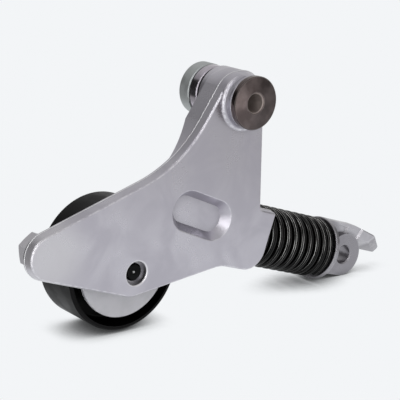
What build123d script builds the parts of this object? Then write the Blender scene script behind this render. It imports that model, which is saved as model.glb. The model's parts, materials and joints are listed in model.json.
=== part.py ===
from build123d import *
import os
from math import cos, radians, sin

# Belt tensioner of a car engine: a die-cast arm that swings on a bolted pivot, a flat idler
# pulley on the arm, and a hydraulic strut inside a coil spring that pushes the arm.
# Millimetres. The origin is on the pivot axis, in the plane of the arm's front face. +X runs
# to the strut, +Y runs back along the pivot axis and +Z is up. Places along Y are depths
# behind the arm's front face.

os.makedirs("parts", exist_ok=True)

# Driving dimensions, shared fits
RUNNING_FIT = 0.05
SIDE_PLAY = 0.2
BOLT_R = 5.0
BOLT_HOLE_R = 5.25
EYE_HOLE_R = 5.5

# Driving dimensions, cast arm
PLATE_T = 6.2
PARTING_DEPTH = 5.0
DRAFT = 9.0
EDGE_R = 1.3
TIP_X = -122.0
TIP_Z = -69.9
TIP_R = 13.0
TOP_ANGLE = 17.8
UNDER_ANGLE = -18.8
LOW_ANGLE = 7.0
NECK_ANGLE = 56.3
NECK_OFFSET = 17.7
NECK_BLEND_R = 73.0
CROWN_ANGLE = -8.0
CROWN_DROP = 0.6
CROWN_R = 15.0
RIGHT_ANGLE = -87.7
RIGHT_OFFSET = 13.9
EAR_HALF = 18.2
EAR_REACH = 44.8
EAR_TOP_R = 1.6
EAR_ROOT_R = 3.0
EAR_LOW_R = 13.0
EAR_HEEL_R = 20.0
BULGE_R = 13.2
BULGE_BLEND_R = 14.0
NECK_DEPTH = 16.5
NECK_WALL = 5.0
NECK_RIB_T = 3.2
NECK_FALL_FROM = 19.5
NECK_FALL_TO = 42.3
NECK_RUN_ANGLE = -110.5
REAR_DRAFT = 1.5
REAR_RIB_T = 3.4
REAR_RIB_H = 3.0
HEX_ACROSS = 17.0
HEX_TURN = 37.0
HEX_LENGTH = 13.0
HEX_CHAMFER = 0.8

# Driving dimensions, oval pocket in the arm's front face
POCKET_X = -26.2
POCKET_Z = -61.3
POCKET_TURN = -23.2
POCKET_SPAN = 19.8
POCKET_WIDTH = 22.8
POCKET_DEPTH = 5.0
POCKET_SLOPE = 38.0
POCKET_PAD_WALL = 3.0
POCKET_PAD_H = 3.2
POCKET_RIM_R = 0.9

# Driving dimensions, pivot
BOSS_PROUD = 4.7
BOSS_LENGTH = 27.0
BOSS_FRONT_R = 14.3
BOSS_FACE_R = 14.6
BOSS_FOOT_R = 2.6
BOSS_CREST_R = 15.6
BOSS_REAR_R = 15.5
SLEEVE_R = 8.5
BUSH_T = 1.5
BUSH_L = 9.5
SEAL_R = 11.4
SEAL_DEPTH = 2.0
SEAL_GAP = 0.3
COLLAR_R = 14.75
COLLAR_T = 3.8
REAR_SEAL_R = 13.5
REAR_SEAL_T = 2.2
RETAINER_R = 14.7
RETAINER_T = 6.1
GROOVE_R = 12.6
GROOVE_T = 0.7
SPACER_R = 14.9
SPACER_T = 8.5
SPIGOT_R = 7.0
SPIGOT_L = 4.0
TURNED_CHAMFER = 0.5
BORE_CHAMFER = 0.9

# Driving dimensions, pulley and its bearing
PULLEY_X = -68.8
PULLEY_Z = -86.9
PULLEY_R = 35.0
PULLEY_WIDTH = 30.0
PULLEY_FRONT = 11.0
PULLEY_WALL = 2.2
RIM_ROUND = 0.8
HUB_LIP = 0.8
HUB_LIP_T = 0.5
BEARING_BORE_R = 8.5
BEARING_R = 20.0
BEARING_W = 16.0
INNER_RING_R = 11.4
OUTER_RING_R = 17.1
BALL_R = 3.3
BALL_COUNT = 8
BALL_PLAY = 0.05
CAGE_HALF = 4.4
CAGE_T = 2.4
SEAL_PLATE_T = 0.9
SEAL_INSET = 0.6
SHIELD_R = 27.6
SHIELD_T = 1.0
SHIELD_SINK = 0.5
SHIELD_LIP = 2.6
SHIELD_CUP_GAP = 0.5
CARRIER_R = 11.0
COUNTERBORE_R = 6.4
COUNTERBORE_DEPTH = 3.8
BOLT_END_SINK = 2.3
BOLT_CHAMFER = 0.9
BOLT_CENTRE_R = 1.4
BOLT_CENTRE_DEPTH = 1.2
BOLT_HEAD_ACROSS = 15.0
BOLT_HEAD_H = 6.0
BOLT_FLANGE_R = 10.9
BOLT_FLANGE_T = 1.6

# Driving dimensions, strut
PIN_X = -19.6
PIN_Z = -71.2
STRUT_TILT = 17.5
EYE_TO_EYE = 129.5
SEAT_TO_EYE = 21.5
SPRING_LENGTH = 70.0
LUG_T = 12.0
UPPER_EYE_R = 12.5
LOWER_EYE_R = 13.2
PIN_R = 6.0
PIN_BUSH_T = 1.5
PIN_BOSS_R = 11.0
PIN_THREAD_L = 10.0
PIN_WASHER_R = 11.0
PIN_WASHER_T = 1.6
UPPER_NECK_R = 14.4
SEAT_R = 18.8
SEAT_T = 3.0
SEAT_GUIDE_R = 13.4
SEAT_GUIDE_L = 4.0
WIRE_R = 2.3
COIL_R = 16.1
COIL_PITCH = 6.1
SPRING_END_GAP = 0.05
TUBE_R = 12.0
TUBE_WALL = 2.0
TUBE_GRIP = 7.0
TUBE_STANDOFF = 16.0
GUIDE_L = 9.0
ROD_SEAL_L = 3.0
ROD_R = 5.0
ROD_GRIP = 8.0
PISTON_L = 8.0
VALVE_L = 4.0
VALVE_R = 6.5
VALVE_BALL_R = 2.0
LOWER_SEAT_R = 19.2
LOWER_SEAT_T = 2.6
LOWER_STEP_R = 16.6
LOWER_STEP_T = 2.6
EYE_CHAMFER = 0.7
LUG_FOOT_DROP = 1.0
ROOT_WALL = 1.9
ROOT_DEPTH = 2.4
ROOT_END = 0.1
WAIST_DEPTH = 1.15
WAIST_END = 12.9
WAIST_END_ANGLE = 68.0
STEP_SLOPE = 45.0
FINGER_INSET = 0.6
FINGER_START = 3.0
FINGER_SLOPE = -10.0
FINGER_SHOULDER = 22.4
FINGER_REACH = 41.2
FINGER_NOSE_H = 7.7
FINGER_HEEL = 38.1
FINGER_LOW = 4.0
FINGER_BEVEL_TOP = 11.0
FINGER_END_R = 1.5
FINGER_EDGE_R = 0.8
END_FACE_START = 18.1
END_FACE_ANGLE = 41.0
NOSE_LAND = 0.8

# Values worked out from the driving dimensions
mid_depth = PULLEY_FRONT + PULLEY_WIDTH / 2
boss_rear = BOSS_LENGTH - BOSS_PROUD
collar_back = -BOSS_PROUD - SIDE_PLAY
collar_front = collar_back - COLLAR_T
retainer_front = boss_rear + REAR_SEAL_T + SIDE_PLAY
retainer_back = retainer_front + RETAINER_T
spacer_front = retainer_back + GROOVE_T
spacer_back = spacer_front + SPACER_T
bush_r = SLEEVE_R + RUNNING_FIT + BUSH_T
bearing_front = mid_depth - BEARING_W / 2
bearing_back = mid_depth + BEARING_W / 2
carrier_back = bearing_front - SHIELD_T
ball_circle_r = (INNER_RING_R + OUTER_RING_R) / 2
lug_front = mid_depth - LUG_T / 2
lug_back = mid_depth + LUG_T / 2
eye_bush_r = PIN_R + RUNNING_FIT + PIN_BUSH_T
lower_seat = EYE_TO_EYE - SEAT_TO_EYE
upper_seat = lower_seat - SPRING_LENGTH
tube_start = upper_seat - TUBE_GRIP
tube_end = lower_seat - TUBE_STANDOFF
tube_bore_r = TUBE_R - TUBE_WALL
guide_start = tube_end - GUIDE_L
piston_end = guide_start - ROD_SEAL_L
piston_start = piston_end - PISTON_L

# Axes of rotation: local x runs along the axis and local y is the radius
pivot_axis = Plane(origin=(0, 0, 0), x_dir=(0, 1, 0), z_dir=(1, 0, 0))
pulley_axis = Plane(origin=(PULLEY_X, 0, PULLEY_Z), x_dir=(0, 1, 0), z_dir=(1, 0, 0))
pin_axis = Plane(origin=(PIN_X, 0, PIN_Z), x_dir=(0, 1, 0), z_dir=(1, 0, 0))

# The strut's own plane: local x runs from the upper pin to the lower eye, local y is upwards
strut_run = Vector(cos(radians(STRUT_TILT)), 0, -sin(radians(STRUT_TILT)))
strut_rise = Vector(sin(radians(STRUT_TILT)), 0, cos(radians(STRUT_TILT)))
pin_point = Vector(PIN_X, mid_depth, PIN_Z)
strut_plane = Plane(origin=pin_point, x_dir=strut_run, z_dir=(0, -1, 0))
eye_point = pin_point + strut_run * EYE_TO_EYE
eye_axis = Plane(origin=(eye_point.X, 0, eye_point.Z), x_dir=(0, 1, 0), z_dir=(1, 0, 0))


def face_plane(depth):
    """Plane parallel to the arm's face, as seen from the front, at a depth behind it."""
    return Plane(origin=(0, depth, 0), x_dir=(1, 0, 0), z_dir=(0, -1, 0))


def back_plane(depth):
    """The same plane turned over, so that an extrusion runs backwards."""
    return Plane(origin=(0, depth, 0), x_dir=(-1, 0, 0), z_dir=(0, 1, 0))


def strut_section(depth):
    """Plane of the strut's outline at a depth behind the arm's face, facing forward."""
    return Plane(origin=(PIN_X, depth, PIN_Z), x_dir=strut_run, z_dir=(0, -1, 0))


def turned(axis_plane, *profile, mode=Mode.ADD):
    """Revolve a closed profile of (along, radius) points about the plane's x axis."""
    with BuildSketch(axis_plane) as half_section:
        with BuildLine():
            Polyline(*profile, close=True)
        make_face()
    revolve(half_section.sketch, axis=Axis(axis_plane.origin, axis_plane.x_dir), mode=mode)


def ring(axis_plane, start, end, inner, outer, edge=0.0, mode=Mode.ADD):
    """Plain ring between two radii, with its outer edges broken by a chamfer."""
    if edge > 0:
        profile = [(start, inner), (start, outer - edge), (start + edge, outer)]
        profile += [(end - edge, outer), (end, outer - edge), (end, inner)]
    else:
        profile = [(start, inner), (start, outer), (end, outer), (end, inner)]
    turned(axis_plane, *profile, mode=mode)


def side_of(x, z, radius, angle, side):
    """Point of a circle where a line at this angle touches it, above (1) or below (-1)."""
    return (x - side * radius * sin(radians(angle)), z + side * radius * cos(radians(angle)))


def meet(p, angle_p, q, angle_q):
    """Crossing point of two lines, each given by a point and an angle in degrees."""
    px, pz = cos(radians(angle_p)), sin(radians(angle_p))
    qx, qz = cos(radians(angle_q)), sin(radians(angle_q))
    along = ((q[0] - p[0]) * qz - (q[1] - p[1]) * qx) / (px * qz - pz * qx)
    return (p[0] + along * px, p[1] + along * pz)


def step_on(p, angle, distance):
    """Point at a distance from p in the direction of an angle."""
    return (p[0] + distance * cos(radians(angle)), p[1] + distance * sin(radians(angle)))


def from_pin(along, rise):
    """Point of the arm's plane from its place along and across the strut's axis."""
    place = pin_point + strut_run * along + strut_rise * rise
    return (place.X, place.Z)


def hexagon_head(x, z, depth, across, height, edge, turn=0.0):
    """Hexagon that stands back from a depth, its corners turned off at the far end."""
    foot = Plane(origin=(x, depth, z), x_dir=(1, 0, 0), z_dir=(0, 1, 0))
    axis_plane = Plane(origin=(x, depth, z), x_dir=(0, 1, 0), z_dir=(1, 0, 0))
    corner_r = across / 3**0.5
    with BuildPart() as head:
        with BuildSketch(foot):
            RegularPolygon(radius=across / 2, side_count=6, major_radius=False, rotation=turn)
        extrude(amount=height)
        turned(
            axis_plane,
            (0, 0),
            (0, corner_r),
            (height - edge, corner_r),
            (height, across / 2 - edge),
            (height, 0),
            mode=Mode.INTERSECT,
        )
    return head.part


# Lines of the arm's outline at the parting plane, each a point and an angle
top_line = side_of(TIP_X, TIP_Z, TIP_R, TOP_ANGLE, 1)
under_line = side_of(TIP_X, TIP_Z, TIP_R, UNDER_ANGLE, -1)
low_line = side_of(PULLEY_X, PULLEY_Z, BULGE_R, LOW_ANGLE, -1)
neck_line = side_of(0, 0, NECK_OFFSET, NECK_ANGLE, 1)
right_line = side_of(0, 0, RIGHT_OFFSET, RIGHT_ANGLE, 1)

crown_line = side_of(0, 0, BOSS_CREST_R - CROWN_DROP, CROWN_ANGLE, 1)
crown_corner = meet(neck_line, NECK_ANGLE, crown_line, CROWN_ANGLE)
neck_corner = meet(top_line, TOP_ANGLE, neck_line, NECK_ANGLE)
tip_corner = meet(top_line, TOP_ANGLE, under_line, UNDER_ANGLE)
bulge_corner = meet(under_line, UNDER_ANGLE, low_line, LOW_ANGLE)
ear_heel = meet(low_line, LOW_ANGLE, from_pin(0, -EAR_HALF), -STRUT_TILT)
ear_root = meet(right_line, RIGHT_ANGLE, from_pin(0, EAR_HALF), -STRUT_TILT)

arm_corners = [
    (right_line, 0),
    (ear_root, EAR_ROOT_R),
    (from_pin(EAR_REACH, EAR_HALF), EAR_TOP_R),
    (from_pin(EAR_REACH, -EAR_HALF), EAR_LOW_R),
    (ear_heel, EAR_HEEL_R),
    (bulge_corner, BULGE_BLEND_R),
    (tip_corner, TIP_R),
    (neck_corner, NECK_BLEND_R),
    (crown_corner, CROWN_R),
    (crown_line, 0),
]


def arm_outline(depth):
    """Closed outline of the arm at a depth behind its face, facing forward."""
    with BuildSketch(face_plane(depth)) as outline:
        with BuildLine():
            FilletPolyline(
                *[corner for corner, _ in arm_corners],
                radius=[radius for _, radius in arm_corners],
                close=True,
            )
        make_face()
    return outline.sketch


# Walls of the neck behind the plate: they carry the boss and fall away to the plate
neck_run = Vector(cos(radians(NECK_RUN_ANGLE)), 0, sin(radians(NECK_RUN_ANGLE)))
fall_top = neck_run * NECK_FALL_FROM + Vector(0, NECK_DEPTH, 0)
fall_foot = neck_run * NECK_FALL_TO + Vector(0, PLATE_T, 0)
fall_normal = (fall_foot - fall_top).cross(Vector(-neck_run.Z, 0, neck_run.X))
inner_neck = side_of(0, 0, NECK_OFFSET - NECK_WALL, NECK_ANGLE, 1)
inner_right = side_of(0, 0, RIGHT_OFFSET - NECK_WALL, RIGHT_ANGLE, 1)

with BuildPart() as arm_neck:
    extrude(-arm_outline(PARTING_DEPTH).face(), amount=NECK_DEPTH - PARTING_DEPTH, taper=REAR_DRAFT)
    with BuildSketch(face_plane(NECK_DEPTH)):
        Polygon(
            step_on(inner_neck, NECK_ANGLE, 5),
            step_on(inner_neck, NECK_ANGLE, -2 * NECK_FALL_TO),
            step_on(inner_right, RIGHT_ANGLE, 2 * NECK_FALL_TO),
            step_on(inner_right, RIGHT_ANGLE, -5),
            align=None,
        )
    extrude(amount=NECK_DEPTH - PLATE_T, mode=Mode.SUBTRACT)
    with BuildSketch(face_plane(NECK_DEPTH)):
        with Locations((0, 0)):
            Rectangle(
                NECK_FALL_TO + PLATE_T, NECK_RIB_T, rotation=NECK_RUN_ANGLE, align=(Align.MIN, Align.CENTER)
            )
    extrude(amount=NECK_DEPTH - PARTING_DEPTH)
    split(bisect_by=Plane(origin=fall_top, z_dir=fall_normal), keep=Keep.TOP)

# Hollow corner between the boss and the plate's face, cut to the face's outline
foot_radius = BOSS_FACE_R + BOSS_FOOT_R
foot_height = PARTING_DEPTH + BOSS_FOOT_R
with BuildPart() as boss_foot:
    with BuildSketch(pivot_axis) as foot_section:
        with BuildLine():
            Polyline((PARTING_DEPTH, 0), (PARTING_DEPTH, foot_radius), (0, foot_radius))
            RadiusArc((0, foot_radius), (-BOSS_FOOT_R, BOSS_FACE_R), BOSS_FOOT_R)
            Polyline((-BOSS_FOOT_R, BOSS_FACE_R), (-BOSS_FOOT_R, 0), (PARTING_DEPTH, 0))
        make_face()
    revolve(axis=Axis(pivot_axis.origin, pivot_axis.x_dir))
    extrude(arm_outline(PARTING_DEPTH), amount=foot_height, taper=DRAFT, mode=Mode.INTERSECT)

# Hexagon behind the arm's tip, for the fitting wrench
with BuildPart() as arm_hexagon:
    add(hexagon_head(TIP_X, TIP_Z, PARTING_DEPTH, HEX_ACROSS, HEX_LENGTH, HEX_CHAMFER, -HEX_TURN))

# Arm casting: drafted plate, boss, neck walls, bosses and ribs
with BuildPart() as tensioner_arm:
    extrude(arm_outline(PARTING_DEPTH), amount=PARTING_DEPTH, taper=DRAFT)
    front_rim = faces().sort_by(Axis.Y)[0].edges()
    fillet(front_rim, radius=EDGE_R)
    extrude(arm_outline(PLATE_T), amount=PLATE_T - PARTING_DEPTH)
    add(arm_neck.part)
    boss_profile = [
        (-BOSS_PROUD, 0),
        (-BOSS_PROUD, BOSS_FRONT_R - TURNED_CHAMFER),
        (-BOSS_PROUD + TURNED_CHAMFER, BOSS_FRONT_R),
        (0, BOSS_FACE_R),
        (PARTING_DEPTH, BOSS_CREST_R),
        (boss_rear - TURNED_CHAMFER, BOSS_REAR_R),
        (boss_rear, BOSS_REAR_R - TURNED_CHAMFER),
        (boss_rear, 0),
    ]
    turned(pivot_axis, *boss_profile)
    add(boss_foot.part)
    add(arm_hexagon.part)
    ring(pulley_axis, PLATE_T, carrier_back, 0, CARRIER_R)
    ring(pin_axis, PLATE_T, lug_front - SIDE_PLAY, 0, PIN_BOSS_R)
    with BuildSketch(face_plane(PLATE_T + POCKET_PAD_H)):
        with Locations((POCKET_X, POCKET_Z)):
            SlotCenterToCenter(POCKET_SPAN, POCKET_WIDTH + 2 * POCKET_PAD_WALL, rotation=POCKET_TURN)
    extrude(amount=POCKET_PAD_H)
    with BuildSketch(face_plane(PLATE_T + REAR_RIB_H)):
        with BuildLine():
            Line((TIP_X, TIP_Z), (PULLEY_X, PULLEY_Z))
        trace(line_width=REAR_RIB_T)
        with BuildLine():
            Line((TIP_X, TIP_Z), (POCKET_X, POCKET_Z))
        trace(line_width=REAR_RIB_T)
        with BuildLine():
            Line((PULLEY_X, PULLEY_Z), (POCKET_X, POCKET_Z))
        trace(line_width=REAR_RIB_T)
    extrude(amount=REAR_RIB_H)
    with BuildSketch(back_plane(0)):
        with Locations((-POCKET_X, POCKET_Z)):
            SlotCenterToCenter(POCKET_SPAN, POCKET_WIDTH, rotation=-POCKET_TURN)
    extrude(amount=POCKET_DEPTH, taper=POCKET_SLOPE, mode=Mode.SUBTRACT)
    ring(pulley_axis, 0, COUNTERBORE_DEPTH, 0, COUNTERBORE_R, mode=Mode.SUBTRACT)
    face_edges = faces().filter_by(Axis.Y).sort_by(SortBy.AREA)[-1].inner_wires()
    for wire in face_edges:
        fillet(wire.edges(), radius=POCKET_RIM_R)
    ring(pulley_axis, 0, carrier_back, 0, BOLT_R, mode=Mode.SUBTRACT)
    ring(pin_axis, lug_front - PIN_THREAD_L, lug_front, 0, BOLT_R, mode=Mode.SUBTRACT)
    ring(pivot_axis, -BOSS_PROUD, boss_rear, 0, bush_r, mode=Mode.SUBTRACT)
    ring(pivot_axis, -BOSS_PROUD, -BOSS_PROUD + SEAL_DEPTH, 0, SEAL_R, mode=Mode.SUBTRACT)
    ring(pivot_axis, boss_rear - SEAL_DEPTH, boss_rear, 0, SEAL_R, mode=Mode.SUBTRACT)
tensioner_arm.part.label = "tensioner_arm"
export_step(tensioner_arm.part, "parts/tensioner_arm.step")

# Pivot: flanged sleeve that the engine bolt clamps, with its rear spigot
with BuildPart() as pivot_sleeve:
    turned(
        pivot_axis,
        (collar_front, BOLT_HOLE_R + BORE_CHAMFER),
        (collar_front, COLLAR_R - TURNED_CHAMFER),
        (collar_front + TURNED_CHAMFER, COLLAR_R),
        (collar_back - TURNED_CHAMFER, COLLAR_R),
        (collar_back, COLLAR_R - TURNED_CHAMFER),
        (collar_back, SLEEVE_R),
        (spacer_front, SLEEVE_R),
        (spacer_front, SPIGOT_R),
        (spacer_front + SPIGOT_L, SPIGOT_R),
        (spacer_front + SPIGOT_L, BOLT_HOLE_R),
        (collar_front + BORE_CHAMFER, BOLT_HOLE_R),
    )
pivot_sleeve.part.label = "pivot_sleeve"
export_step(pivot_sleeve.part, "parts/pivot_sleeve.step")

# Pivot: turned ring that holds the rear seal
with BuildPart() as retainer_ring:
    ring(pivot_axis, retainer_front, retainer_back, SLEEVE_R, RETAINER_R, TURNED_CHAMFER)
retainer_ring.part.label = "retainer_ring"
export_step(retainer_ring.part, "parts/retainer_ring.step")

# Pivot: rear spacer, the face that stands on the engine
with BuildPart() as rear_spacer:
    turned(
        pivot_axis,
        (retainer_back, SLEEVE_R),
        (retainer_back, GROOVE_R),
        (spacer_front, GROOVE_R),
        (spacer_front, SPACER_R - TURNED_CHAMFER),
        (spacer_front + TURNED_CHAMFER, SPACER_R),
        (spacer_back - TURNED_CHAMFER, SPACER_R),
        (spacer_back, SPACER_R - TURNED_CHAMFER),
        (spacer_back, BOLT_HOLE_R),
        (spacer_front + SPIGOT_L, BOLT_HOLE_R),
        (spacer_front + SPIGOT_L, SPIGOT_R),
        (spacer_front, SPIGOT_R),
        (spacer_front, SLEEVE_R),
    )
rear_spacer.part.label = "rear_spacer"
export_step(rear_spacer.part, "parts/rear_spacer.step")

# Pivot: two plain bushes pressed into the boss
with BuildPart() as front_bush:
    start = -BOSS_PROUD + SEAL_DEPTH
    ring(pivot_axis, start, start + BUSH_L, SLEEVE_R + RUNNING_FIT, bush_r)
front_bush.part.label = "front_bush"
export_step(front_bush.part, "parts/front_bush.step")

with BuildPart() as rear_bush:
    end = boss_rear - SEAL_DEPTH
    ring(pivot_axis, end - BUSH_L, end, SLEEVE_R + RUNNING_FIT, bush_r)
rear_bush.part.label = "rear_bush"
export_step(rear_bush.part, "parts/rear_bush.step")

# Pivot: rubber seals in the boss's two counterbores, the rear one with a flange outside
with BuildPart() as front_seal:
    start = -BOSS_PROUD
    ring(pivot_axis, start, start + SEAL_DEPTH, SLEEVE_R + SEAL_GAP, SEAL_R)
front_seal.part.label = "front_seal"
export_step(front_seal.part, "parts/front_seal.step")

with BuildPart() as rear_seal:
    turned(
        pivot_axis,
        (boss_rear - SEAL_DEPTH, SLEEVE_R + SEAL_GAP),
        (boss_rear - SEAL_DEPTH, SEAL_R),
        (boss_rear, SEAL_R),
        (boss_rear, REAR_SEAL_R),
        (boss_rear + REAR_SEAL_T, REAR_SEAL_R),
        (boss_rear + REAR_SEAL_T, SLEEVE_R + SEAL_GAP),
    )
rear_seal.part.label = "rear_seal"
export_step(rear_seal.part, "parts/rear_seal.step")

# Pulley: pressed steel shell with a flat tread, a web and a hub rolled over the bearing
rim_front = PULLEY_FRONT
rim_back = PULLEY_FRONT + PULLEY_WIDTH
rim_inner_r = PULLEY_R - PULLEY_WALL
hub_r = BEARING_R + PULLEY_WALL
web_front = mid_depth - PULLEY_WALL / 2
web_back = mid_depth + PULLEY_WALL / 2
with BuildPart() as pulley_shell:
    turned(
        pulley_axis,
        (rim_front, rim_inner_r),
        (rim_front, PULLEY_R - RIM_ROUND),
        (rim_front + RIM_ROUND, PULLEY_R),
        (rim_back - RIM_ROUND, PULLEY_R),
        (rim_back, PULLEY_R - RIM_ROUND),
        (rim_back, rim_inner_r),
        (web_back, rim_inner_r),
        (web_back, hub_r),
        (bearing_back + HUB_LIP_T, hub_r),
        (bearing_back + HUB_LIP_T, BEARING_R - HUB_LIP),
        (bearing_back, BEARING_R - HUB_LIP),
        (bearing_back, BEARING_R),
        (bearing_front, BEARING_R),
        (bearing_front, BEARING_R - HUB_LIP),
        (bearing_front - HUB_LIP_T, BEARING_R - HUB_LIP),
        (bearing_front - HUB_LIP_T, hub_r),
        (web_front, hub_r),
        (web_front, rim_inner_r),
    )
    corner_edges = edges().filter_by(GeomType.CIRCLE).filter_by(
        lambda edge: abs(edge.center().Y - mid_depth) < PULLEY_WALL
    )
    fillet(corner_edges, radius=PULLEY_WALL)
pulley_shell.part.label = "pulley_shell"
export_step(pulley_shell.part, "parts/pulley_shell.step")


def ball_groove():
    """Cut the groove that the balls run in from the bearing ring that is open."""
    with BuildSketch(pulley_axis) as groove:
        with Locations((mid_depth, ball_circle_r)):
            Circle(BALL_R + BALL_PLAY)
    axis = Axis(pulley_axis.origin, pulley_axis.x_dir)
    revolve(groove.sketch, axis=axis, mode=Mode.SUBTRACT)


# The balls stand round the pulley's axis; each place has its own z axis along the radius
ball_angles = [360 / BALL_COUNT * index for index in range(BALL_COUNT)]
ball_places = [
    Location(
        Plane(
            origin=(
                PULLEY_X + ball_circle_r * cos(radians(angle)),
                mid_depth,
                PULLEY_Z + ball_circle_r * sin(radians(angle)),
            ),
            x_dir=(0, 1, 0),
            z_dir=(cos(radians(angle)), 0, sin(radians(angle))),
        )
    )
    for angle in ball_angles
]

# Pulley bearing, wide sealed ball bearing
with BuildPart() as bearing_inner_ring:
    ring(pulley_axis, bearing_front, bearing_back, BEARING_BORE_R, INNER_RING_R)
    ball_groove()
bearing_inner_ring.part.label = "bearing_inner_ring"
export_step(bearing_inner_ring.part, "parts/bearing_inner_ring.step")

with BuildPart() as bearing_outer_ring:
    ring(pulley_axis, bearing_front, bearing_back, OUTER_RING_R, BEARING_R)
    ball_groove()
bearing_outer_ring.part.label = "bearing_outer_ring"
export_step(bearing_outer_ring.part, "parts/bearing_outer_ring.step")

with BuildPart() as bearing_balls:
    with Locations(*ball_places):
        Sphere(BALL_R)
bearing_balls.part.label = "bearing_balls"
export_step(bearing_balls.part, "parts/bearing_balls.step")

with BuildPart() as bearing_cage:
    ring(
        pulley_axis,
        mid_depth - CAGE_HALF,
        mid_depth + CAGE_HALF,
        ball_circle_r - CAGE_T / 2,
        ball_circle_r + CAGE_T / 2,
    )
    with Locations(*ball_places):
        Cylinder(BALL_R + BALL_PLAY, 2 * CAGE_T, mode=Mode.SUBTRACT)
bearing_cage.part.label = "bearing_cage"
export_step(bearing_cage.part, "parts/bearing_cage.step")

seal_inner_r = INNER_RING_R + SEAL_GAP
with BuildPart() as bearing_seal_front:
    start = bearing_front + SEAL_INSET
    ring(pulley_axis, start, start + SEAL_PLATE_T, seal_inner_r, OUTER_RING_R)
bearing_seal_front.part.label = "bearing_seal_front"
export_step(bearing_seal_front.part, "parts/bearing_seal_front.step")

with BuildPart() as bearing_seal_back:
    end = bearing_back - SEAL_INSET
    ring(pulley_axis, end - SEAL_PLATE_T, end, seal_inner_r, OUTER_RING_R)
bearing_seal_back.part.label = "bearing_seal_back"
export_step(bearing_seal_back.part, "parts/bearing_seal_back.step")

# Sleeve that brings the bearing's bore down to the bolt
with BuildPart() as bearing_sleeve:
    ring(pulley_axis, bearing_front, bearing_back, BOLT_R + RUNNING_FIT, BEARING_BORE_R)
bearing_sleeve.part.label = "bearing_sleeve"
export_step(bearing_sleeve.part, "parts/bearing_sleeve.step")

# Dust shield: dished steel disc clamped between the arm and the bearing
shield_face = PULLEY_FRONT - SHIELD_SINK
cup_r = CARRIER_R + SHIELD_CUP_GAP
with BuildPart() as dust_shield:
    turned(
        pulley_axis,
        (bearing_front, BOLT_R + RUNNING_FIT),
        (carrier_back, BOLT_R + RUNNING_FIT),
        (carrier_back, cup_r),
        (shield_face, cup_r),
        (shield_face, SHIELD_R - SHIELD_T / 2),
        (shield_face + SHIELD_T / 2, SHIELD_R),
        (shield_face + SHIELD_LIP, SHIELD_R),
        (shield_face + SHIELD_LIP, SHIELD_R - SHIELD_T),
        (shield_face + SHIELD_T, SHIELD_R - SHIELD_T),
        (shield_face + SHIELD_T, cup_r + SHIELD_T),
        (bearing_front, cup_r + SHIELD_T),
    )
dust_shield.part.label = "dust_shield"
export_step(dust_shield.part, "parts/dust_shield.step")

# Pulley bolt: flanged hexagon bolt from behind, its end showing in the arm's counterbore
with BuildPart() as pulley_bolt:
    head = bearing_back + BOLT_FLANGE_T
    add(hexagon_head(PULLEY_X, PULLEY_Z, head, BOLT_HEAD_ACROSS, BOLT_HEAD_H, BOLT_CHAMFER))
    turned(
        pulley_axis,
        (BOLT_END_SINK + BOLT_CENTRE_DEPTH, 0),
        (BOLT_END_SINK, BOLT_CENTRE_R),
        (BOLT_END_SINK, BOLT_R - BOLT_CHAMFER),
        (BOLT_END_SINK + BOLT_CHAMFER, BOLT_R),
        (bearing_back, BOLT_R),
        (bearing_back, BOLT_FLANGE_R),
        (head, BOLT_HEAD_ACROSS / 2),
        (head, 0),
    )
pulley_bolt.part.label = "pulley_bolt"
export_step(pulley_bolt.part, "parts/pulley_bolt.step")

# Strut's upper pin: shouldered bolt screwed into the arm from behind
pin_back = lug_back + SIDE_PLAY
with BuildPart() as strut_pin:
    head = pin_back + PIN_WASHER_T
    add(hexagon_head(PIN_X, PIN_Z, head, BOLT_HEAD_ACROSS, BOLT_HEAD_H, BOLT_CHAMFER))
    turned(
        pin_axis,
        (lug_front - PIN_THREAD_L + SIDE_PLAY, 0),
        (lug_front - PIN_THREAD_L + SIDE_PLAY, BOLT_R),
        (lug_front - SIDE_PLAY, BOLT_R),
        (lug_front - SIDE_PLAY, PIN_R),
        (head, PIN_R),
        (head, 0),
    )
strut_pin.part.label = "strut_pin"
export_step(strut_pin.part, "parts/strut_pin.step")

with BuildPart() as pin_washer:
    ring(pin_axis, pin_back, pin_back + PIN_WASHER_T, PIN_R, PIN_WASHER_R)
pin_washer.part.label = "pin_washer"
export_step(pin_washer.part, "parts/pin_washer.step")

# Strut, upper casting: eye, neck and spring seat, with a socket for the damper tube
neck_start = PIN_BOSS_R + 2
with BuildPart() as upper_mount:
    with BuildSketch(strut_section(lug_front)):
        Circle(UPPER_EYE_R)
        Polygon(
            (0, UPPER_EYE_R),
            (tube_start - 1, UPPER_NECK_R - 2),
            (tube_start - 1, 2 - UPPER_NECK_R),
            (0, -UPPER_EYE_R),
            align=None,
        )
    extrude(amount=-LUG_T)
    turned(
        strut_plane,
        (neck_start, 0),
        (neck_start, LUG_T / 2 - 1),
        (tube_start - 8, UPPER_NECK_R),
        (upper_seat - SEAT_T, UPPER_NECK_R),
        (upper_seat - SEAT_T, SEAT_R),
        (upper_seat, SEAT_R),
        (upper_seat, SEAT_GUIDE_R),
        (upper_seat + SEAT_GUIDE_L, SEAT_GUIDE_R),
        (upper_seat + SEAT_GUIDE_L, 0),
    )
    ring(strut_plane, tube_start, upper_seat + SEAT_GUIDE_L, 0, TUBE_R, mode=Mode.SUBTRACT)
    ring(pin_axis, lug_front, lug_back, 0, eye_bush_r, mode=Mode.SUBTRACT)
upper_mount.part.label = "upper_mount"
export_step(upper_mount.part, "parts/upper_mount.step")

with BuildPart() as eye_bush:
    ring(pin_axis, lug_front, lug_back, PIN_R + RUNNING_FIT, eye_bush_r)
eye_bush.part.label = "eye_bush"
export_step(eye_bush.part, "parts/eye_bush.step")

# Strut, damper: tube, rod guide and rod seal
with BuildPart() as damper_tube:
    ring(strut_plane, tube_start, tube_end, tube_bore_r, TUBE_R)
damper_tube.part.label = "damper_tube"
export_step(damper_tube.part, "parts/damper_tube.step")

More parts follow.
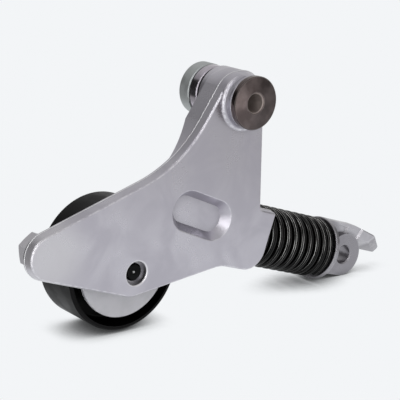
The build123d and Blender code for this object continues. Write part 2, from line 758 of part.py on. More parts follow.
with BuildPart() as rod_guide:
    ring(strut_plane, guide_start, tube_end, ROD_R + RUNNING_FIT, tube_bore_r)
rod_guide.part.label = "rod_guide"
export_step(rod_guide.part, "parts/rod_guide.step")

with BuildPart() as rod_seal:
    ring(strut_plane, piston_end, guide_start, ROD_R + RUNNING_FIT, tube_bore_r)
rod_seal.part.label = "rod_seal"
export_step(rod_seal.part, "parts/rod_seal.step")

# Strut, coil spring between the two seats
coil_start = upper_seat + WIRE_R + SPRING_END_GAP
coil_height = SPRING_LENGTH - 2 * (WIRE_R + SPRING_END_GAP)
with BuildPart() as coil_spring:
    coil_base = pin_point + strut_run * coil_start
    with BuildLine():
        wire_path = Helix(COIL_PITCH, coil_height, COIL_R, center=coil_base, direction=strut_run)
    with BuildSketch(Plane(origin=wire_path @ 0, z_dir=wire_path % 0)):
        Circle(WIRE_R)
    sweep(is_frenet=True)
coil_spring.part.label = "coil_spring"
export_step(coil_spring.part, "parts/coil_spring.step")

# Strut, damper: plunger rod, piston and its check valve
with BuildPart() as plunger_rod:
    ring(strut_plane, piston_start, lower_seat + ROD_GRIP, 0, ROD_R)
plunger_rod.part.label = "plunger_rod"
export_step(plunger_rod.part, "parts/plunger_rod.step")

with BuildPart() as damper_piston:
    ring(strut_plane, piston_start, piston_end, ROD_R, tube_bore_r - RUNNING_FIT)
damper_piston.part.label = "damper_piston"
export_step(damper_piston.part, "parts/damper_piston.step")

valve_start = piston_start - VALVE_L
with BuildPart() as valve_cage:
    ring(strut_plane, valve_start, piston_start, VALVE_BALL_R + RUNNING_FIT, VALVE_R)
valve_cage.part.label = "valve_cage"
export_step(valve_cage.part, "parts/valve_cage.step")

with BuildPart() as valve_ball:
    with Locations(strut_plane * Location((piston_start - VALVE_BALL_R - RUNNING_FIT, 0, 0))):
        Sphere(VALVE_BALL_R)
valve_ball.part.label = "valve_ball"
export_step(valve_ball.part, "parts/valve_ball.step")

# Strut, lower casting: spring seat, eye for the engine bolt and the locating finger
eye = EYE_TO_EYE
lug_foot = lower_seat + LOWER_SEAT_T
step_end = lug_foot + LOWER_STEP_T
finger_end = eye + FINGER_REACH
finger_front = lug_front + FINGER_INSET
finger_shoulder = meet((eye + FINGER_START, LOWER_SEAT_R), FINGER_SLOPE, (eye + FINGER_SHOULDER, 0), 90)
root_start = lug_foot - ROOT_DEPTH
waist_start = root_start - WAIST_DEPTH
waist_head = (eye + WAIST_END, LOWER_SEAT_R + WAIST_DEPTH)
waist_foot = meet(waist_head, WAIST_END_ANGLE, (0, 0), 0)


def finger_point(along, rise, depth):
    """Point of the finger from its place in the strut's plane and its depth behind the face."""
    return strut_plane.from_local_coords((along, rise, mid_depth - depth))


# Finger: a bar with a bevelled lower edge, two stepped recesses and an end face that runs back
with BuildPart() as finger:
    with BuildSketch(strut_section(lug_back)):
        with BuildLine():
            FilletPolyline(
                (lug_foot, 0),
                (lug_foot, LOWER_SEAT_R),
                (eye + FINGER_START, LOWER_SEAT_R),
                finger_shoulder,
                (finger_end, FINGER_NOSE_H),
                (eye + FINGER_HEEL, FINGER_LOW),
                (eye + LOWER_EYE_R / 2, FINGER_LOW),
                (eye, 0),
                radius=[0, 0, 2 * LOWER_EYE_R, FINGER_END_R, FINGER_END_R, FINGER_END_R, 0, 0],
                close=True,
            )
        make_face()
    extrude(amount=lug_back - finger_front)
    ring(strut_plane, lug_foot, finger_end, 0, LOWER_SEAT_R, mode=Mode.INTERSECT)
    bevel_low = finger_point(eye, FINGER_LOW, lug_back)
    bevel_high = finger_point(eye, FINGER_BEVEL_TOP, finger_front)
    bevel = Plane(origin=bevel_low, z_dir=(bevel_high - bevel_low).cross(strut_run))
    split(bisect_by=bevel, keep=Keep.TOP)
    end_line = strut_run * cos(radians(END_FACE_ANGLE)) + strut_rise * sin(radians(END_FACE_ANGLE))
    end_start = finger_point(eye + END_FACE_START, FINGER_BEVEL_TOP, finger_front)
    end_nose = finger_point(finger_end, FINGER_NOSE_H, lug_back - NOSE_LAND)
    end_face = Plane(origin=end_start, z_dir=(end_nose - end_start).cross(end_line))
    split(bisect_by=end_face, keep=Keep.BOTTOM)
    with BuildSketch(strut_section(finger_front)) as waist:
        Polygon((waist_start, 0), (waist_start, waist_head[1]), waist_head, waist_foot, align=None)
    extrude(-waist.sketch.face(), amount=WAIST_DEPTH, taper=STEP_SLOPE, mode=Mode.SUBTRACT)
    with BuildSketch(Plane(origin=(PIN_X, 0, PIN_Z), x_dir=strut_run, z_dir=strut_rise)):
        root_end = (eye + ROOT_END, finger_front)
        root_floor = meet(root_end, 180 - STEP_SLOPE, (0, finger_front + ROOT_DEPTH), 0)
        Polygon((root_start, root_end[1]), root_end, root_floor, (root_start, root_floor[1]), align=None)
    extrude(amount=LOWER_SEAT_R - ROOT_WALL, mode=Mode.SUBTRACT)
    fillet(faces().sort_by(Axis.Y)[0].edges(), radius=FINGER_EDGE_R)

with BuildPart() as lower_mount:
    add(finger.part)
    turned(
        strut_plane,
        (lower_seat, 0),
        (lower_seat, LOWER_SEAT_R - TURNED_CHAMFER),
        (lower_seat + TURNED_CHAMFER, LOWER_SEAT_R),
        (lug_foot, LOWER_SEAT_R),
        (lug_foot, LOWER_STEP_R),
        (step_end, LOWER_STEP_R - LOWER_STEP_T / 2),
        (step_end, 0),
    )
    with BuildSketch(strut_section(lug_front)):
        with Locations((eye, 0)):
            Circle(LOWER_EYE_R)
        Polygon(
            (lower_seat + LOWER_SEAT_T / 2, 0),
            (eye, 0),
            (eye, -LOWER_EYE_R),
            (lower_seat + LOWER_SEAT_T / 2, -LOWER_EYE_R - LUG_FOOT_DROP),
            align=None,
        )
    extrude(amount=-LUG_T)
    ring(eye_axis, lug_front, lug_back, 0, EYE_HOLE_R, mode=Mode.SUBTRACT)
    eye_edges = edges().filter_by(GeomType.CIRCLE).filter_by(lambda edge: edge.radius == EYE_HOLE_R)
    chamfer(eye_edges, length=EYE_CHAMFER)
    ring(strut_plane, lower_seat, lower_seat + ROD_GRIP, 0, ROD_R, mode=Mode.SUBTRACT)
lower_mount.part.label = "lower_mount"
export_step(lower_mount.part, "parts/lower_mount.step")
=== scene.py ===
"""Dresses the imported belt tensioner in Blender: finishes, spring, casting details and studio.

Metres, in the frame of the CAD model. The origin is on the pivot axis, in the plane of the
arm's front face. +X runs to the strut, +Y runs back along the pivot axis and +Z is up.
"""

import json
import logging
import math
from dataclasses import dataclass, field
from enum import Enum

import bmesh
import bpy
from mathutils import Matrix, Vector

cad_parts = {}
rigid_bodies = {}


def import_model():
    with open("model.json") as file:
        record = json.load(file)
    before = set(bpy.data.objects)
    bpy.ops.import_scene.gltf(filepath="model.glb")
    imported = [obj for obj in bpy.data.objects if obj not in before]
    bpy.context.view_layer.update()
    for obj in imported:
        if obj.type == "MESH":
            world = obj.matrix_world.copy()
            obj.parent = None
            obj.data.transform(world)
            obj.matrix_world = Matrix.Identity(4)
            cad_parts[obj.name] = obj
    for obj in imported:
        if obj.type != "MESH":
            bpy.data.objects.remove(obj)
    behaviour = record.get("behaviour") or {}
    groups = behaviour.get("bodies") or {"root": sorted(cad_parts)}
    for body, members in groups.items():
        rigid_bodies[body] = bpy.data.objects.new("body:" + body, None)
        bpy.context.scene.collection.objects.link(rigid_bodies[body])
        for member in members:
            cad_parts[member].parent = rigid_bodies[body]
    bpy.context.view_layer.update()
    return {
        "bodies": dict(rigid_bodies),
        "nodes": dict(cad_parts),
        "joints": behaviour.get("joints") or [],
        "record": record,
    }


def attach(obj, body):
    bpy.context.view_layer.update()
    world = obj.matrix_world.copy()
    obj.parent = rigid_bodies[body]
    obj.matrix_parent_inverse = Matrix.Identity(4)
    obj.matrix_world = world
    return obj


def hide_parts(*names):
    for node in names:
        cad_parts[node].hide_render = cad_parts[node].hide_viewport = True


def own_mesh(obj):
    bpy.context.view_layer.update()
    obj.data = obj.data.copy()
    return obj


LOG = logging.getLogger("belt_tensioner")
MM = 0.001
Colour = tuple[float, float, float]
Socket = bpy.types.NodeSocket

BLACK = (0.0, 0.0, 0.0, 1.0)
WHITE = (1.0, 1.0, 1.0, 1.0)
FLOAT = "NodeSocketFloat"
COLOUR = "NodeSocketColor"
VECTOR = "NodeSocketVector"
TONES = {"Pale": COLOUR, "Deep": COLOUR, "Smooth": FLOAT, "Rough": FLOAT}
SKIN = {"Color": COLOUR, "Roughness": FLOAT, "Height": FLOAT}
MASK = {"Mask": FLOAT}
MIX_FIRST, MIX_SECOND, MIX_RESULT = 6, 7, 2  # places of the Mix node's colour sockets

WELD_DISTANCE = 1e-6
CASTING_WELD_DISTANCE = 2e-6
PARTING_PLANE_SLACK = 1e-5
PARTING_LEAST_ANGLE = math.radians(3)
SIDE_WALL_MOST_FACING = 0.9
WIRE_SIDES = 20
WIRE_POINTS_PER_TURN = 56
BEAD_SIDES = 8
FLOOR_SEGMENTS = 96

# painted shade in recesses: how far it reaches and how dark it is
RECESS_SHADE_REACH = 6 * MM
RECESS_SHADE_TONE = 0.3
# painted highlights along fillets and along edges
FILLET_HIGHLIGHT = {"Break Up": 2.5 * MM, "Steep": 0.72, "Flat": 0.985}
EDGE_HIGHLIGHT = {"Width": 0.4 * MM, "Break Up": 4 * MM}
BRONZE = (0.32, 0.19, 0.07), (0.52, 0.34, 0.15), (0.28, 0.42)


class Skin(Enum):
    """Shader node group that a finish's surface comes from."""

    CAST = "cast_grain"
    TURNED = "turned_rings"
    PAINTED = "painted_skin"


def grey(level: float) -> Colour:
    """Gives the grey of one level."""
    return (level, level, level)


def opaque(colour: Colour) -> tuple[float, float, float, float]:
    """Gives a colour its fourth number."""
    return (*colour, 1.0)


class NodeTree:
    """Adds nodes to a tree and joins their sockets."""

    def __init__(self, tree: bpy.types.NodeTree) -> None:
        """Keeps the tree that the nodes go to."""
        self.tree = tree

    def add(self, kind: str, **settings: object) -> bpy.types.Node:
        """Adds one node.

        Args:
            kind: The node's type name in Blender.
            settings: Properties of the node, set by name.

        Returns:
            The new node.
        """
        node = self.tree.nodes.new(kind)
        for name, value in settings.items():
            setattr(node, name, value)
        return node

    def feed(self, socket: Socket, value: object) -> None:
        """Sets an input socket, or links it where the value is a socket.

        Args:
            socket: The input.
            value: A number, a vector, a colour or another node's output.
        """
        if isinstance(value, Socket):
            self.tree.links.new(value, socket)
        else:
            socket.default_value = value

    def place_group(self, name: str, values: dict[str, object]) -> bpy.types.NodeOutputs:
        """Places a shader node group with its own values.

        Args:
            name: The group's name.
            values: Its inputs, by name.

        Returns:
            The group's outputs.
        """
        node = self.add("ShaderNodeGroup", node_tree=bpy.data.node_groups[name])
        for socket, value in values.items():
            self.feed(node.inputs[socket], value)
        return node.outputs

    def math(self, operation: str, *terms: object, clamp: bool = False) -> Socket:
        """Works out one number from up to three others.

        Args:
            operation: The node's operation.
            terms: Numbers or sockets, in the node's order.
            clamp: Whether the result is kept between 0 and 1.

        Returns:
            The result's socket.
        """
        node = self.add("ShaderNodeMath", operation=operation, use_clamp=clamp)
        for socket, term in zip(node.inputs, terms):
            self.feed(socket, term)
        return node.outputs[0]

    def vector(self, operation: str, *terms: object, output: int = 0) -> Socket:
        """Works out one vector, or one number, from one or two vectors.

        Args:
            operation: The node's operation.
            terms: Vectors or sockets, in the node's order.
            output: 0 for the node's vector, 1 for its number.

        Returns:
            The result's socket.
        """
        node = self.add("ShaderNodeVectorMath", operation=operation)
        for socket, term in zip(node.inputs, terms):
            self.feed(socket, term)
        return node.outputs[output]

    def split(self, vector: Socket) -> bpy.types.NodeOutputs:
        """Splits a vector.

        Args:
            vector: The vector.

        Returns:
            Its X, Y and Z, by name.
        """
        node = self.add("ShaderNodeSeparateXYZ")
        self.feed(node.inputs[0], vector)
        return node.outputs

    def coordinate(self, kind: str = "Object") -> Socket:
        """Gives the point's place on the object, or another coordinate."""
        return self.add("ShaderNodeTexCoord").outputs[kind]

    def from_axis(self, centre: object) -> Socket:
        """Gives the point's distance from the axis along Y through a centre."""
        arm = self.vector("SUBTRACT", self.coordinate(), centre)
        return self.vector("LENGTH", self.vector("MULTIPLY", arm, (1.0, 0.0, 1.0)), output=1)

    def noise(self, scale: object, detail: float, distortion: float = 0.0) -> Socket:
        """Adds a noise texture that follows the object.

        Args:
            scale: Its scale per metre.
            detail: Number of finer layers.
            distortion: How far its pattern is swirled.

        Returns:
            The noise's socket, from 0 to 1.
        """
        node = self.add("ShaderNodeTexNoise")
        self.feed(node.inputs["Vector"], self.coordinate())
        self.feed(node.inputs["Scale"], scale)
        self.feed(node.inputs["Detail"], detail)
        self.feed(node.inputs["Distortion"], distortion)
        return node.outputs["Fac"]

    def spread(
        self, value: Socket, low: object, high: object, to_low: object = 0.0, to_high: object = 1.0
    ) -> Socket:
        """Maps a number smoothly from one range to another.

        Args:
            value: The number's socket.
            low: Start of its range.
            high: End of its range.
            to_low: Result at the start.
            to_high: Result at the end.

        Returns:
            The mapped number's socket.
        """
        node = self.add("ShaderNodeMapRange", interpolation_type="SMOOTHSTEP")
        for socket, given in zip(node.inputs, (value, low, high, to_low, to_high)):
            self.feed(socket, given)
        return node.outputs[0]

    def blend(self, share: object, first: object, second: object) -> Socket:
        """Mixes two colours.

        Args:
            share: Share of the second colour, from 0 to 1.
            first: A colour or a socket.
            second: A colour or a socket.

        Returns:
            The mixed colour's socket.
        """
        node = self.add("ShaderNodeMix", data_type="RGBA")
        self.feed(node.inputs["Factor"], share)
        self.feed(node.inputs[MIX_FIRST], first)
        self.feed(node.inputs[MIX_SECOND], second)
        return node.outputs[MIX_RESULT]

    def cover(self, mask: Socket, share: float, under: Socket, over: Colour) -> Socket:
        """Lays a colour over another with a share of a mask."""
        return self.blend(self.math("MULTIPLY", mask, share), under, opaque(over))

    def mix_shaders(self, share: Socket, first: bpy.types.Node, second: bpy.types.Node) -> bpy.types.Node:
        """Mixes two shaders.

        Args:
            share: The second shader's share.
            first: The node of the first shader.
            second: The node of the second shader.

        Returns:
            The Mix Shader node.
        """
        mixed = self.add("ShaderNodeMixShader")
        self.feed(mixed.inputs[0], share)
        self.feed(mixed.inputs[1], first.outputs[0])
        self.feed(mixed.inputs[2], second.outputs[0])
        return mixed


def new_group(
    name: str, inputs: dict[str, str], outputs: dict[str, str]
) -> tuple[NodeTree, dict[str, Socket], dict[str, Socket]]:
    """Starts a shader node group.

    Args:
        name: The group's name.
        inputs: Kind of each input socket, by name.
        outputs: Kind of each output socket, by name.

    Returns:
        The tree, its inputs and its outputs, by name.
    """
    group = bpy.data.node_groups.new(name, "ShaderNodeTree")
    for side, sockets in (("INPUT", inputs), ("OUTPUT", outputs)):
        for socket, kind in sockets.items():
            group.interface.new_socket(socket, in_out=side, socket_type=kind)
    tree = NodeTree(group)
    given = tree.add("NodeGroupInput").outputs
    wanted = tree.add("NodeGroupOutput").inputs
    return tree, {n: given[n] for n in inputs}, {n: wanted[n] for n in outputs}


def cast_grain_group() -> None:
    """Builds the skin of a die casting: fine grain, small pits and cloudy patches."""
    pits_per_grain = 0.3
    pit_radius = 0.16
    pit_height = 0.4
    cloud_detail, cloud_swirl = 4.0, 0.6
    patch_low, patch_high = 0.3, 0.7
    grain_detail, grain_tone = 3.0, 0.5
    inputs = {"Grain Size": FLOAT, "Cloud Size": FLOAT, **TONES}
    tree, given, wanted = new_group("cast_grain", inputs, SKIN)
    fine = tree.math("DIVIDE", 1.0, given["Grain Size"])
    grain = tree.noise(fine, grain_detail)
    cloud = tree.noise(tree.math("DIVIDE", 1.0, given["Cloud Size"]), cloud_detail, cloud_swirl)
    pits = tree.add("ShaderNodeTexVoronoi")
    tree.feed(pits.inputs["Vector"], tree.coordinate())
    tree.feed(pits.inputs["Scale"], tree.math("MULTIPLY", fine, pits_per_grain))
    pit = tree.spread(pits.outputs["Distance"], 0.0, pit_radius)
    patch = tree.spread(cloud, patch_low, patch_high)
    speckle = tree.math("MULTIPLY_ADD", grain, grain_tone, -grain_tone / 2)
    tone = tree.math("ADD", patch, speckle, clamp=True)
    tree.feed(wanted["Color"], tree.blend(tone, given["Deep"], given["Pale"]))
    tree.feed(wanted["Roughness"], tree.spread(tone, 0.0, 1.0, given["Rough"], given["Smooth"]))
    relief = tree.math("MULTIPLY_ADD", pit, 1 - pit_height, pit_height)
    tree.feed(wanted["Height"], tree.math("MULTIPLY", grain, relief))


def turned_rings_group() -> None:
    """Builds a lathe's grooves round an axis along Y, with a core of painted light round the axis: a paler
    colour with its own roughness.
    """
    groove_detail, groove_tone = 2.0, 0.5
    mottle_scale, mottle_detail = 160.0, 5.0
    mottle_low, mottle_high, mottle_tone = 0.38, 0.66, 0.6
    light_core_feather = 0.2 * MM
    side_facing, end_facing = 0.3, 0.6
    numbers = ("Ring Pitch", "Groove Depth", "Side Gloss", "Light Core Radius", "Light Core Roughness", "Dish")
    inputs = {"Centre": VECTOR, "PaintedLightCore": COLOUR, **dict.fromkeys(numbers, FLOAT), **TONES}
    tree, given, wanted = new_group("turned_rings", inputs, SKIN)
    radius = tree.from_axis(given["Centre"])
    along = tree.math("ADD", radius, tree.split(tree.coordinate())["Y"])
    groove = tree.add("ShaderNodeTexNoise", noise_dimensions="1D")
    tree.feed(groove.inputs["W"], tree.math("DIVIDE", along, given["Ring Pitch"]))
    tree.feed(groove.inputs["Scale"], 1.0)
    tree.feed(groove.inputs["Detail"], groove_detail)
    mottle = tree.noise(mottle_scale, mottle_detail)
    spots = tree.spread(mottle, mottle_low, mottle_high, 0.0, mottle_tone)
    tone = tree.math("MULTIPLY_ADD", groove.outputs["Fac"], groove_tone, spots)
    rim = tree.math("ADD", given["Light Core Radius"], light_core_feather)
    light_core = tree.spread(radius, given["Light Core Radius"], rim, 1.0, 0.0)
    colour = tree.blend(tone, given["Deep"], given["Pale"])
    tree.feed(wanted["Color"], tree.blend(light_core, colour, given["PaintedLightCore"]))
    facing = tree.math("ABSOLUTE", tree.split(tree.coordinate("Normal"))["Y"])
    side = tree.spread(facing, side_facing, end_facing, given["Side Gloss"], 1.0)
    rough = tree.math("MULTIPLY", tree.spread(tone, 0.0, 1.0, given["Smooth"], given["Rough"]), side)
    tree.feed(wanted["Roughness"], tree.spread(light_core, 0.0, 1.0, rough, given["Light Core Roughness"]))
    depth = tree.math("MULTIPLY", groove.outputs["Fac"], given["Groove Depth"])
    tree.feed(wanted["Height"], tree.math("MULTIPLY_ADD", radius, given["Dish"], depth))


def painted_skin_group() -> None:
    """Builds a coat of paint: soft orange peel and slow changes of gloss."""
    peel_detail, cloud_detail = 1.0, 5.0
    cloud_low, cloud_high = 0.35, 0.65
    inputs = {"Peel Size": FLOAT, "Cloud Size": FLOAT, **TONES}
    tree, given, wanted = new_group("painted_skin", inputs, SKIN)
    peel = tree.noise(tree.math("DIVIDE", 1.0, given["Peel Size"]), peel_detail)
    cloud = tree.noise(tree.math("DIVIDE", 1.0, given["Cloud Size"]), cloud_detail)
    tone = tree.spread(cloud, cloud_low, cloud_high)
    tree.feed(wanted["Color"], tree.blend(tone, given["Deep"], given["Pale"]))
    tree.feed(wanted["Roughness"], tree.spread(tone, 0.0, 1.0, given["Smooth"], given["Rough"]))
    tree.feed(wanted["Height"], peel)


def edge_highlight_group() -> None:
    """Builds a mask of a painted highlight along edges, broken up by noise."""
    flat_match, edge_match = 0.99, 0.86
    break_up_detail, break_up_low, break_up_high, least_break_up = 4.0, 0.3, 0.6, 0.35
    tree, given, wanted = new_group("painted_edge_highlight", {"Width": FLOAT, "Break Up": FLOAT}, MASK)
    rounded = tree.add("ShaderNodeBevel", samples=4)
    tree.feed(rounded.inputs["Radius"], given["Width"])
    faceted = tree.add("ShaderNodeNewGeometry")
    match = tree.vector("DOT_PRODUCT", rounded.outputs["Normal"], faceted.outputs["Normal"], output=1)
    edge = tree.spread(match, flat_match, edge_match)
    break_up = tree.noise(tree.math("DIVIDE", 1.0, given["Break Up"]), break_up_detail)
    broken_up = tree.spread(break_up, break_up_low, break_up_high, least_break_up)
    tree.feed(wanted["Mask"], tree.math("MULTIPLY", edge, broken_up, clamp=True))


def fillet_highlight_group() -> None:
    """Builds a mask of a painted highlight along the fillets round a casting's flat faces, where they
    leave the face, broken up by noise.
    """
    steep_feather, flat_feather = 0.08, 0.03
    break_up_detail, break_up_low, break_up_high, least_break_up = 5.0, 0.38, 0.6, 0.1
    inputs = {"Break Up": FLOAT, "Steep": FLOAT, "Flat": FLOAT}
    tree, given, wanted = new_group("painted_fillet_highlight", inputs, MASK)
    facing = tree.math("ABSOLUTE", tree.split(tree.coordinate("Normal"))["Y"])
    leaves = tree.spread(facing, given["Steep"], tree.math("ADD", given["Steep"], steep_feather))
    flat = tree.math("SUBTRACT", given["Flat"], flat_feather)
    begins = tree.spread(facing, flat, given["Flat"], 1.0, 0.0)
    break_up = tree.noise(tree.math("DIVIDE", 1.0, given["Break Up"]), break_up_detail)
    broken_up = tree.spread(break_up, break_up_low, break_up_high, least_break_up)
    band = tree.math("MULTIPLY", leaves, begins)
    tree.feed(wanted["Mask"], tree.math("MULTIPLY", band, broken_up, clamp=True))


def recess_shade_group() -> None:
    """Builds a mask of painted shade in a casting's recesses, where nearby surfaces hide the light, broken
    up by noise.
    """
    hollow_low, hollow_high = 0.55, 0.97
    shade_noise_scale, shade_noise_detail = 240.0, 3.0
    shade_noise_low, shade_noise_high, least_shade_noise = 0.25, 0.6, 0.6
    tree, given, wanted = new_group("painted_recess_shade", {"Reach": FLOAT}, MASK)
    near = tree.add("ShaderNodeAmbientOcclusion", samples=6)
    tree.feed(near.inputs["Distance"], given["Reach"])
    hollow = tree.spread(near.outputs["AO"], hollow_low, hollow_high, 1.0, 0.0)
    shade_layer = tree.spread(tree.noise(shade_noise_scale, shade_noise_detail), shade_noise_low, shade_noise_high, least_shade_noise)
    tree.feed(wanted["Mask"], tree.math("MULTIPLY", hollow, shade_layer, clamp=True))


def wire_highlight_group() -> None:
    """Builds a mask of two fine painted highlight lines that follow a coiled wire's outer shoulder,
    fainter on its lower side.
    """
    outer_reach = 4 * MM
    lowest, highest, least_below = -13 * MM, 2 * MM, 0.12
    break_up_detail, break_up_low, break_up_high, least_break_up = 1.0, 0.36, 0.62, 0.1
    numbers = dict.fromkeys(("First Lean", "Second Lean", "Width"), FLOAT)
    tree, given, wanted = new_group("painted_wire_highlight", {"Start": VECTOR, "Run": VECTOR, **numbers}, MASK)
    normal = tree.coordinate("Normal")
    lean = tree.vector("DOT_PRODUCT", normal, given["Run"], output=1)
    arm = tree.vector("SUBTRACT", tree.coordinate(), given["Start"])
    outward = tree.vector("SUBTRACT", arm, tree.vector("PROJECT", arm, given["Run"]))
    outside = tree.spread(tree.vector("DOT_PRODUCT", normal, outward, output=1), 0.0, outer_reach)
    upper = tree.spread(tree.split(outward)["Z"], lowest, highest, least_below)
    lines = []
    for name, break_up_scale in (("First Lean", 55.0), ("Second Lean", 85.0)):
        off = tree.math("ABSOLUTE", tree.math("SUBTRACT", lean, given[name]))
        line = tree.spread(off, 0.0, given["Width"], 1.0, 0.0)
        break_up = tree.spread(tree.noise(break_up_scale, break_up_detail), break_up_low, break_up_high, least_break_up)
        lines.append(tree.math("MULTIPLY", line, break_up))
    both = tree.math("MULTIPLY", tree.math("MAXIMUM", *lines), upper)
    tree.feed(wanted["Mask"], tree.math("MULTIPLY", both, outside, clamp=True))


def round_spot_group() -> None:
    """Builds a mask of a round spot about an axis along Y."""
    inputs = {"Centre": VECTOR, "Radius": FLOAT, "Feather": FLOAT}
    tree, given, wanted = new_group("round_spot", inputs, MASK)
    outer = tree.math("ADD", given["Radius"], given["Feather"])
    radius = tree.from_axis(given["Centre"])
    tree.feed(wanted["Mask"], tree.spread(radius, given["Radius"], outer, 1.0, 0.0))


def studio_card_group() -> None:
    """Builds one soft box or dark flag of the studio, far away in one direction."""
    horizon_feather = 0.1
    directions = dict.fromkeys(("Direction", "Across", "Upward"), VECTOR)
    inputs = {"Shade": COLOUR, "Card": COLOUR, "Soft": FLOAT, **directions}
    tree, given, wanted = new_group("studio_card", inputs, {"Shade": COLOUR})
    look = tree.coordinate("Generated")
    apart = tree.vector("SUBTRACT", look, given["Direction"])
    across = tree.vector("DOT_PRODUCT", apart, given["Across"], output=1)
    upward = tree.vector("DOT_PRODUCT", apart, given["Upward"], output=1)
    square = tree.math("MULTIPLY_ADD", across, across, tree.math("MULTIPLY", upward, upward))
    inside = tree.spread(tree.math("SQRT", square), 1.0, given["Soft"], 1.0, 0.0)
    ahead = tree.vector("DOT_PRODUCT", look, given["Direction"], output=1)
    share = tree.math("MULTIPLY", inside, tree.spread(ahead, 0.0, horizon_feather))
    tree.feed(wanted["Shade"], tree.blend(share, given["Shade"], given["Card"]))


@dataclass(frozen=True)
class Mark:
    """Place on a finish where another colour shows."""

    colour: Colour
    share: float

    def mask(self, tree: NodeTree) -> Socket:
        """Gives the place's mask, from a group of the mark's own."""
        raise NotImplementedError

    def lay(self, tree: NodeTree, colour: Socket) -> Socket:
        """Lays the mark over a colour.

        Args:
            tree: The material's tree.
            colour: The colour so far.

        Returns:
            The colour with it.
        """
        return tree.cover(self.mask(tree), self.share, colour, self.colour)


@dataclass(frozen=True)
class Spot(Mark):
    """Round place of another colour, paler or darker than the finish round it."""

    centre: Vector
    radius: float
    feather: float

    def mask(self, tree: NodeTree) -> Socket:
        """Gives the spot's mask."""
        values = {"Centre": self.centre, "Radius": self.radius, "Feather": self.feather}
        return tree.place_group("round_spot", values)["Mask"]


@dataclass(frozen=True)
class WireHighlight(Mark):
    """Painted highlight lines along a coiled wire."""

    start: Vector
    run: Vector
    leans: tuple[float, float]
    width: float

    def mask(self, tree: NodeTree) -> Socket:
        """Gives the lines' mask.

        Args:
            tree: The material's tree.

        Returns:
            The mask's socket.
        """
        leans = dict(zip(("First Lean", "Second Lean"), self.leans))
        values = {"Start": self.start, "Run": self.run, "Width": self.width, **leans}
        return tree.place_group("painted_wire_highlight", values)["Mask"]


@dataclass(frozen=True)
class Finish:
    """One finish of the tensioner, with the values that its groups and its shader take."""

    name: str
    skin: Skin
    deep: Colour
    pale: Colour
    gloss: tuple[float, float]
    metallic: float
    bump: float
    bump_depth: float
    sizes: dict[str, object]
    marks: tuple[Mark, ...] = ()
    grime_share: float = 0.0
    fillet_share: float = 0.0
    # colour of the painted highlights along edges and fillets
    edge: Colour | None = None
    edge_share: float = 0.6
    specular: float = 0.5
    anisotropic: float = 0.0
    anisotropic_turn: float = 0.0

    def lay_marks_and_painted_light(self, tree: NodeTree, colour: Socket) -> Socket:
        """Lays marks, painted shade in recesses and painted highlights along fillets and edges over the
        skin's colour.

        Args:
            tree: The material's tree.
            colour: The skin's colour.

        Returns:
            The weathered colour.
        """
        for mark in self.marks:
            colour = mark.lay(tree, colour)
        # painted shade in recesses and corners
        if self.grime_share > 0:
            mask = tree.place_group("painted_recess_shade", {"Reach": RECESS_SHADE_REACH})["Mask"]
            shade_layer = tuple(RECESS_SHADE_TONE * part for part in self.deep)
            colour = tree.cover(mask, self.grime_share, colour, shade_layer)
        # painted highlight along the fillets
        if self.fillet_share > 0:
            mask = tree.place_group("painted_fillet_highlight", FILLET_HIGHLIGHT)["Mask"]
            colour = tree.cover(mask, self.fillet_share, colour, self.edge)
        # painted highlight along edges
        if self.edge is not None:
            mask = tree.place_group("painted_edge_highlight", EDGE_HIGHLIGHT)["Mask"]
            colour = tree.cover(mask, self.edge_share, colour, self.edge)
        return colour

    def build(self) -> bpy.types.Material:
        """Builds the material.

        Returns:
            The material.
        """
        material = bpy.data.materials.new(self.name)
        material.use_nodes = True
        tree = NodeTree(material.node_tree)
        smooth, rough = self.gloss
        tones = {"Deep": opaque(self.deep), "Pale": opaque(self.pale), "Smooth": smooth, "Rough": rough}
        skin = tree.place_group(self.skin.value, {**self.sizes, **tones})
        bump = tree.add("ShaderNodeBump")
        bump.inputs["Strength"].default_value = self.bump
        bump.inputs["Distance"].default_value = self.bump_depth
        tree.feed(bump.inputs["Height"], skin["Height"])
        values = {
            "Base Color": self.lay_marks_and_painted_light(tree, skin["Color"]),
            "Roughness": skin["Roughness"],
            "Normal": bump.outputs["Normal"],
            "Metallic": self.metallic,
            "Specular IOR Level": self.specular,
            "Anisotropic": self.anisotropic,
            "Anisotropic Rotation": self.anisotropic_turn,
        }
        if self.skin is Skin.TURNED:
            tangent = tree.add("ShaderNodeTangent", direction_type="RADIAL", axis="Y")
            values["Tangent"] = tangent.outputs[0]
        shader = material.node_tree.nodes["Principled BSDF"]
        for socket, value in values.items():
            tree.feed(shader.inputs[socket], value)
        return material


def cast(name: str, deep: Colour, pale: Colour, gloss: tuple[float, float], **extra: object) -> Finish:
    """Describes a die-cast finish.

    Args:
        name: The finish's name.
        deep: Its darker tone.
        pale: Its paler tone.
        gloss: Roughness of its smoother and of its rougher patches.
        extra: Further fields of the finish.

    Returns:
        The finish.
    """
    sizes = {"Grain Size": 0.55 * MM, "Cloud Size": 22 * MM}
    relief = {"bump": 0.09, "bump_depth": 0.10 * MM}
    return Finish(name, Skin.CAST, deep, pale, gloss, metallic=1.0, sizes=sizes, **relief, **extra)


@dataclass(frozen=True)
class PaintedLightCore:
    """Painted light in the middle of a turned piece, inside one radius: a paler colour with its own
    roughness.
    """

    inside: float = 0.0
    colour: Colour = grey(0.5)
    roughness: float = 0.2


